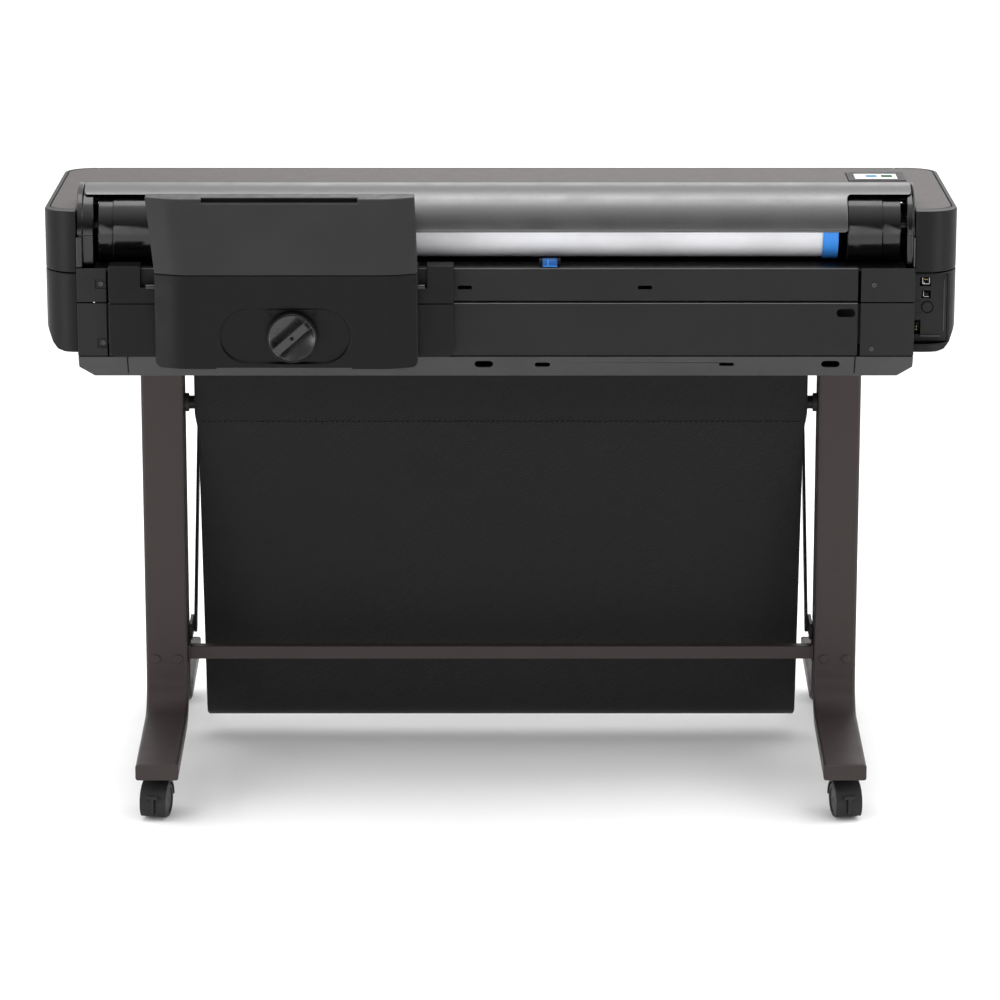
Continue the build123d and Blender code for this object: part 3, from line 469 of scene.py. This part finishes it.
def finish_nodes():
    """Applies the table, and one finish to every caster node."""
    for (finish, edge), names in NODE_FINISHES.items():
        for name in names.split():
            finish_node(name, finish, edge)
    for name in nodes:
        if "caster" in name:
            finish_node(name, WHEEL if "wheels" in name else CASTER, 0.8, clamp=True)


# --- basket ---------------------------------------------------------------------------------

CLOTH_HALF = 452.5
SLEEVE_HALF = 457.5
CLOTH_T = 1.1
CLOTH_COLUMNS = 84
CLOTH_STEP = 6.0
TUBE_R = 8.0
REAR_SEAM_Z = 531.0
FRONT_TUBE = (275.0, 540.0)
SLEEVE_LINE = [(-10.2, 531), (-5, 536), (5, 542), (14, 551), (14.4, 566), (9, 590), (0, 622),
               (-6, 642), (-9.5, 647.5), (-12.7, 645)]
CLOTH_LINE = [(-12.7, 600), (-12.6, 545), (-7, 516), (14, 420), (55, 236), (94, 60), (99, 42),
              (107, 30), (120, 24.5), (133, 30), (141, 42), (145, 60), (159, 200), (196, 340),
              (240, 470), (261, 527)]


def rounded(line, passes=3):
    """Cuts a line's corners over and over, so that it bends smoothly."""
    for _ in range(passes):
        cut = [line[0]]
        for start, end in zip(line, line[1:]):
            for share in (0.25, 0.75):
                cut.append((start[0] + (end[0] - start[0]) * share,
                            start[1] + (end[1] - start[1]) * share))
        line = cut + [line[-1]]
    return line


def measured(line):
    """Distance along a line at each of its points."""
    along = [0.0]
    for start, end in zip(line, line[1:]):
        along.append(along[-1] + hypot(end[0] - start[0], end[1] - start[1]))
    return along


def evenly(line, step):
    """The same line with points at an even spacing."""
    along = measured(line)
    count = round(along[-1] / step)
    points, n = [], 0
    for k in range(count + 1):
        at = along[-1] * k / count
        while n < len(line) - 2 and along[n + 1] < at:
            n += 1
        share = (at - along[n]) / (along[n + 1] - along[n])
        points.append((line[n][0] + (line[n + 1][0] - line[n][0]) * share,
                       line[n][1] + (line[n + 1][1] - line[n][1]) * share))
    return points


def front_sleeve():
    """The cloth's turn over the front tube and back to its own seam."""
    radius = TUBE_R + CLOTH_T / 2 + 0.5
    turn = [(FRONT_TUBE[0] + radius * cos(radians(angle)),
             FRONT_TUBE[1] + radius * sin(radians(angle)))
            for angle in range(190, -76, -19)]
    return turn + [(266, 526.5), (262.5, 524)]


def half_width(y, z):
    """The cloth is a little wider at the rear sleeve and rounded in at its bottom corners."""
    if y < 40:
        wide = CLOTH_HALF + (SLEEVE_HALF - CLOTH_HALF) * smoothstep(z, 508, 548)
    else:
        wide = CLOTH_HALF
    return wide - 3.0 * (1 - smoothstep(z, 24, 36))


def ripple(x, y, z):
    """Slack of the hanging cloth, none of it near the tubes and the seams."""
    free = smoothstep(z, 30, 150) * (1 - smoothstep(z, 400, 510))
    waves = sin(x / 61 + z / 130) + 0.7 * sin(x / 29 - z / 210 + 1.3) + 0.5 * sin(x / 113 + 2)
    return 1.5 * free * waves


def basket_cloth():
    """One sheet of twill: rear sleeve, rear wall, bottom fold, front wall and front sleeve."""
    line = evenly(rounded(SLEEVE_LINE + CLOTH_LINE) + front_sleeve(), CLOTH_STEP)
    length = measured(line)[-1]
    rows = []
    for n, (y, z) in enumerate(line):
        before, after = line[max(n - 1, 0)], line[min(n + 1, len(line) - 1)]
        size = hypot(after[0] - before[0], after[1] - before[1])
        across = ((after[1] - before[1]) / size, -(after[0] - before[0]) / size)
        half = half_width(y, z)
        row = []
        for k in range(CLOTH_COLUMNS + 1):
            edge = 1 - abs(2 * k / CLOTH_COLUMNS - 1)
            x = half * (1 - edge ** 1.25) * (1 if k > CLOTH_COLUMNS / 2 else -1)
            hem = 0.7 * (1 - smoothstep(half - abs(x), 15, 19))
            off = ripple(x, y, z) + (hem if 60 < z < 525 else 0)
            row.append((x, y + across[0] * off, z + across[1] * off))
        rows.append(row)
    form = Form()
    form.grid(rows)
    cloth = form.piece("basket_cloth", FABRIC, None, "fabric", smooth=0)
    thick = cloth.modifiers.new("cloth", "SOLIDIFY")
    thick.thickness, thick.offset = CLOTH_T * MM, 0
    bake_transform(cloth)
    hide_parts("basket_fabric_lower", "basket_fabric_front")
    return cloth, (2 * CLOTH_HALF * MM, length * MM)


def seam(name, body, y, z, half, pitch=8.0, long=4.6):
    """A row of stitches across the cloth."""
    form = Form()
    for n in range(int(2 * half / pitch)):
        x = -half + pitch * (n + 0.5)
        form.block((x - long / 2, x + long / 2), (y - 0.5, y + 0.5), (z - 0.45, z + 0.45), 0.3, 1)
    return form.piece(name, THREAD_AND_SHADE, body, "fabric")


def make_basket():
    """The cloth with its two seams."""
    cloth, flat = basket_cloth()
    seams = [seam("basket_rear_seam", "printer", -11.9, REAR_SEAM_Z, 448),
             seam("basket_front_seam", "basket_frame", 259.2, 526.0, 445)]


# --- sheet feeder ---------------------------------------------------------------------------

KNOB = (-299.0, 735.0)
KNOB_R = 36.5
KNOB_FACE_R = 33.6
KNOB_FRONT = -298.6
KNOB_BACK = -281.5
BAR_HALF = 5.8
BAR_ANGLE = 41.5
KNOB_STEPS = 60


def knob_depth(along, across):
    """How far the knob's face lies behind the grip bar's front."""
    if abs(across) <= BAR_HALF:
        return 0.0
    reach = sqrt(max(KNOB_FACE_R ** 2 - along ** 2, 1e-6))
    share = min(1.0, (abs(across) - BAR_HALF) / max(reach - BAR_HALF, 1e-6))
    wall = smoothstep(abs(across), BAR_HALF, BAR_HALF + 2.2)
    ends = 1 - smoothstep(abs(along), KNOB_FACE_R * 0.72, KNOB_FACE_R)
    return 1.4 * wall + 11.0 * wall * (1 - share) ** 1.3 * ends


def make_knob():
    """Round lock knob: a grip bar across a face that is scooped out on both sides."""
    lines = [0, 3, 5.2, 5.8, 6.2, 6.7, 7.3, 8.1, 9.5, 11.5, 14, 17, 20, 23, 26, 29, 31.5, 33,
             KNOB_FACE_R - 0.02]
    across_lines = [-v for v in reversed(lines[1:])] + lines
    turn = Matrix.Rotation(-radians(BAR_ANGLE), 4, "Y")
    rows = []
    for across in across_lines:
        reach = sqrt(KNOB_FACE_R ** 2 - across ** 2)
        row = []
        for n in range(KNOB_STEPS + 1):
            along = -reach * cos(pi * n / KNOB_STEPS)
            spot = turn @ Vector((along, 0, across))
            row.append((KNOB[0] + spot.x, KNOB_FRONT + knob_depth(along, across),
                        KNOB[1] + spot.z))
        rows.append(row)
    form = Form()
    form.grid(rows)
    face = form.piece("feeder_knob_face", KNOB_FINISH, "feeder_knob", "black_plastic", smooth=50)
    back = face.modifiers.new("back", "SOLIDIFY")
    back.thickness, back.offset = 1.2 * MM, -1
    high = KNOB_BACK - KNOB_FRONT
    outline = [(KNOB_FACE_R - 0.1, 0), (KNOB_FACE_R - 0.1, high - 1.8),
               (KNOB_FACE_R + 0.5, high - 0.6), (KNOB_FACE_R + 1.3, high),
               (KNOB_R - 1.0, high - 0.3), (KNOB_R - 0.2, high - 1.2), (KNOB_R, high - 2.4),
               (KNOB_R, 2.0), (KNOB_R - 0.6, 0)]
    rim = Form().ring(outline, (KNOB[0], KNOB_BACK, KNOB[1]), TO_REAR)
    rim = rim.piece("feeder_knob_rim", FEEDER, "feeder_knob", "black_plastic", smooth=35)
    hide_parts("feeder_knob")
    place = Matrix.Translation((KNOB[0], 0, KNOB[1])) @ turn
    marker = Form().block((26.8, 32.6), (KNOB_FRONT - 0.35, KNOB_FRONT + 2), (-5.0, 5.0), 0.5, 2,
                          place)
    marker.piece("feeder_knob_marker", MARK, "feeder_knob", "black_plastic")
    # A near-black disc at the knob's centre: painted shade standing in for the dark inside of a
    # hole.
    hole = Form().turned([(2.9, 0), (2.9, 0.25), (2.3, 0.35)],
                         (KNOB[0], KNOB_FRONT + 0.1, KNOB[1]), TO_REAR, 32)
    hole.piece("feeder_knob_hole_shade", THREAD_AND_SHADE, "feeder_knob", "black_plastic")


RECESS_Y = -281.0
LOCK_MARK = (33.0, 32.0)          # each mark's place beside and above the knob's axis
SHACKLE_LIFT = 1.2
# Span of the painted shade in the lid's finger slot.
GRIP_SHADE_X = (-427.9, -205.1)


def padlock(x, z, open_by):
    """Generic lock mark moulded into the recess; the shackle is lifted on the open one."""
    mark = Form().block((x - 3.4, x + 3.4), (RECESS_Y - 0.35, RECESS_Y + 0.3), (z - 3.0, z + 1.8),
                        0.3)
    arch = [(x + 2.2 * cos(pi * n / 12), RECESS_Y - 0.1, z + 2.6 + open_by + 2.4 * sin(pi * n / 12))
            for n in range(13)]
    arch = [(x + 2.2, RECESS_Y - 0.1, z + 1.6 + open_by)] + arch
    if not open_by:
        arch.append((x - 2.2, RECESS_Y - 0.1, z + 1.6))
    return mark.tube(arch, 0.45)


def make_feeder_details():
    """Two lock marks beside the knob, and near-black plates in the lid's finger slot as painted
    shade in its recess.
    """
    for name, side, open_by in (("open", -1, SHACKLE_LIFT), ("closed", 1, 0.0)):
        mark = padlock(KNOB[0] + side * LOCK_MARK[0], KNOB[1] + LOCK_MARK[1], open_by)
        mark.piece("lock_mark_" + name, MARK, "printer", "housing_plastic")
    # Near-black plates in the finger slot: painted shade in the recess.
    grip = Form().block(GRIP_SHADE_X, (-257.3, -255.6), (926.1, 931.3), 0.2, 1)
    grip.block(GRIP_SHADE_X, (-265.7, -256.5), (925.8, 926.4), 0.2, 1)
    grip.piece("feeder_lid_grip_shade", THREAD_AND_SHADE, "feeder_lid", "housing_plastic")


# --- connector bay --------------------------------------------------------------------------

PANEL_Y = -203.8
SHIELD_Y = (-203.5, -193.0)
POCKET_BACK = -190
PLUG_AT = (616.5, PANEL_Y, 757.5)
CONTACT_PITCH = 0.8


def frame_bars(form, x, z, thick, sides):
    """Thin metal bars along the chosen sides of a socket: left, right or bottom."""
    if "l" in sides:
        form.block((x[0], x[0] + thick), SHIELD_Y, z, 0.15, 1)
    if "r" in sides:
        form.block((x[1] - thick, x[1]), SHIELD_Y, z, 0.15, 1)
    if "b" in sides:
        form.block(x, SHIELD_Y, (z[0], z[0] + thick), 0.15, 1)
    return form


def make_sockets():
    """Metal shields, inner blocks and contacts of the network, USB and power sockets."""
    shields = frame_bars(Form(), (608.6, 619.4), (791.4, 801.4), 1.0, "lrb")
    shields.block((610.2, 611.8), (-203.2, -196), (791.6, 794.0), 0.2, 1)
    frame_bars(shields, (610.2, 618.6), (772.8, 780.6), 0.8, "lb")
    shields.piece("socket_shields", STEEL, "printer", "steel")
    inner = Form().block((612.4, 617.0), (-202.5, POCKET_BACK), (775.4, 778.6), 0.3)
    inner.block((611.0, 617.5), (-200.5, POCKET_BACK), (798.6, 800.6), 0.2)
    inner.block((599.5, 604.0), (-200, POCKET_BACK), (731.0, 733.5), 0.4)
    inner.piece("socket_blocks", DARK, "printer", "black_plastic")
    pins = Form()
    for n in range(8):
        x = 611.4 + n * CONTACT_PITCH
        pins.block((x - 0.2, x + 0.2), (-202.0, -196), (797.9, 798.4), 0, 1)
    for z in (723.0, 727.5):
        pins.turned([(0.9, 0), (0.9, 9), (0.5, 10)], (601.5, POCKET_BACK, z), TO_REAR, 16)
    pins.piece("socket_contacts", GOLD, "printer", "steel")


def make_panel_details():
    """Blanking plug, knock-out marks and ledge of the connector panel."""
    plug = Form().ring([(8.0, -0.5), (8.0, 0.9), (8.6, 1.2), (9.1, 0.9), (9.1, -0.5)],
                       PLUG_AT, TO_REAR, 64)
    plug.piece("blanking_plug_ring", THREAD_AND_SHADE, "printer", "housing_plastic")
    cover = Form().turned([(7.4, -0.4), (7.4, 0.5), (6.9, 0.9), (2.0, 0.7), (0.6, 0.6)],
                          PLUG_AT, TO_REAR)
    cover.piece("blanking_plug", HOUSING, "printer", "housing_plastic")
    marks = Form()
    for z in (766.6, 748.6):
        for x in (598.2, 601.4, 604.6, 607.8):
            marks.block((x - 1.1, x + 1.1), (PANEL_Y - 0.25, PANEL_Y + 0.2),
                        (z - 0.4, z + 0.4), 0.1, 1)
    marks.piece("knockout_marks", THREAD_AND_SHADE, "printer", "housing_plastic")
    ledge = Form().block((606.5, 636.0), (-206.8, PANEL_Y + 0.2), (713.4, 716.0), 0.9, 3)
    ledge.block((639.3, 641.2), (-205.0, PANEL_Y + 0.2), (722, 799), 0.5, 2)
    ledge.piece("connector_ledge", CHIN, "printer", "housing_plastic")


# --- display, latch and roll ----------------------------------------------------------------

TOP_REAR_Z = 903.0
TOP_SLOPE = 0.084
BODY_REAR = -220.0
TILE_WIDE = 16.0
TILE_Y = (114.5, 135.5)
TILES = {"blue": (ICON_BLUE, 547.5), "green": (ICON_GREEN, 570.5)}
PANEL_X = (-565.5, 514.0)
ROLL_AXIS = (-150.0, 866.0)
STOP_FACE_X = 481.5


def top_z(y):
    """Height of the sloping top at a depth."""
    return TOP_REAR_Z - TOP_SLOPE * (y - BODY_REAR)


def on_top(x, y, above, thick):
    """Thin rounded tile that lies on the sloping top."""
    middle = (y[0] + y[1]) / 2
    tilt = (Matrix.Translation((0, middle, top_z(middle) + above))
            @ Matrix.Rotation(-atan2(TOP_SLOPE, 1), 4, "X"))
    half = (y[1] - y[0]) / 2
    return Form().block(x, (-half, half), (-0.2, thick), 0.1, 1, tilt)


def make_display():
    """Two coloured tiles on the white screen."""
    for name, (finish, left) in TILES.items():
        tile = on_top((left, left + TILE_WIDE), TILE_Y, 0.95, 0.35)
        tile.piece("screen_tile_" + name, finish, "printer", "display_glass")


def make_latch():
    """Finger ridge and foot of the blue release latch."""
    ridge = Form().block((66.9, 68.3), (-223.4, -213), (822.6, 831.2), 0.3, 2)
    ridge.block((60.2, 80.8), (-223.4, -220.5), (821.8, 823.6), 0.5, 2)
    ridge.piece("release_latch_ridge", BLUE, "release_latch", "blue_plastic")


def make_panel_highlight_edges():
    """Real rounded edges along the tops of the two long rear panels, coloured light grey as a
    painted highlight.
    """
    edges = Form().block(PANEL_X, (-229.9, -228.6), (768.7, 770.1), 0.55, 2)
    edges.block(PANEL_X, (-227.9, -226.6), (819.8, 821.1), 0.55, 2)
    edges.piece("rear_panel_highlight_edges", EDGE_HIGHLIGHT, "printer", "housing_plastic")


def make_roll_details():
    """Raised rim on the roll's blue stop."""
    ring = Form().ring([(44.8, 0), (46.2, 0.8), (48.3, 1.2), (48.3, 4.0), (44.8, 4.6)],
                       (STOP_FACE_X, *ROLL_AXIS), (1, 0, 0))
    ring.piece("roll_stop_rim", BLUE, "roll", "blue_plastic")


# --- front side -----------------------------------------------------------------------------

RIB_COUNT = 24
RIB_PITCH = 38
FIRST_RIB_X = -437


def make_front_details():
    """Finger lip on the window and guide ribs along the print exit."""
    lip = Form().block((-120, 105), (216.6, 219.8), (781.5, 786.5), 1.2, 3)
    lip.piece("window_lip", HOUSING, "window", "smoked_window")
    ribs = Form()
    for n in range(RIB_COUNT):
        x = FIRST_RIB_X + n * RIB_PITCH
        ribs.block((x - 1.2, x + 1.2), (205, 216.5), (748.6, 753.5), 0.8, 2)
    ribs.piece("exit_ribs", DARK, "printer", "black_plastic")


# --- the whole machine ----------------------------------------------------------------------

make_camera()
make_stage()
finish_nodes()
make_basket()
make_knob()
make_feeder_details()
make_sockets()
make_panel_details()
make_display()
make_latch()
make_panel_highlight_edges()
make_roll_details()
make_front_details()
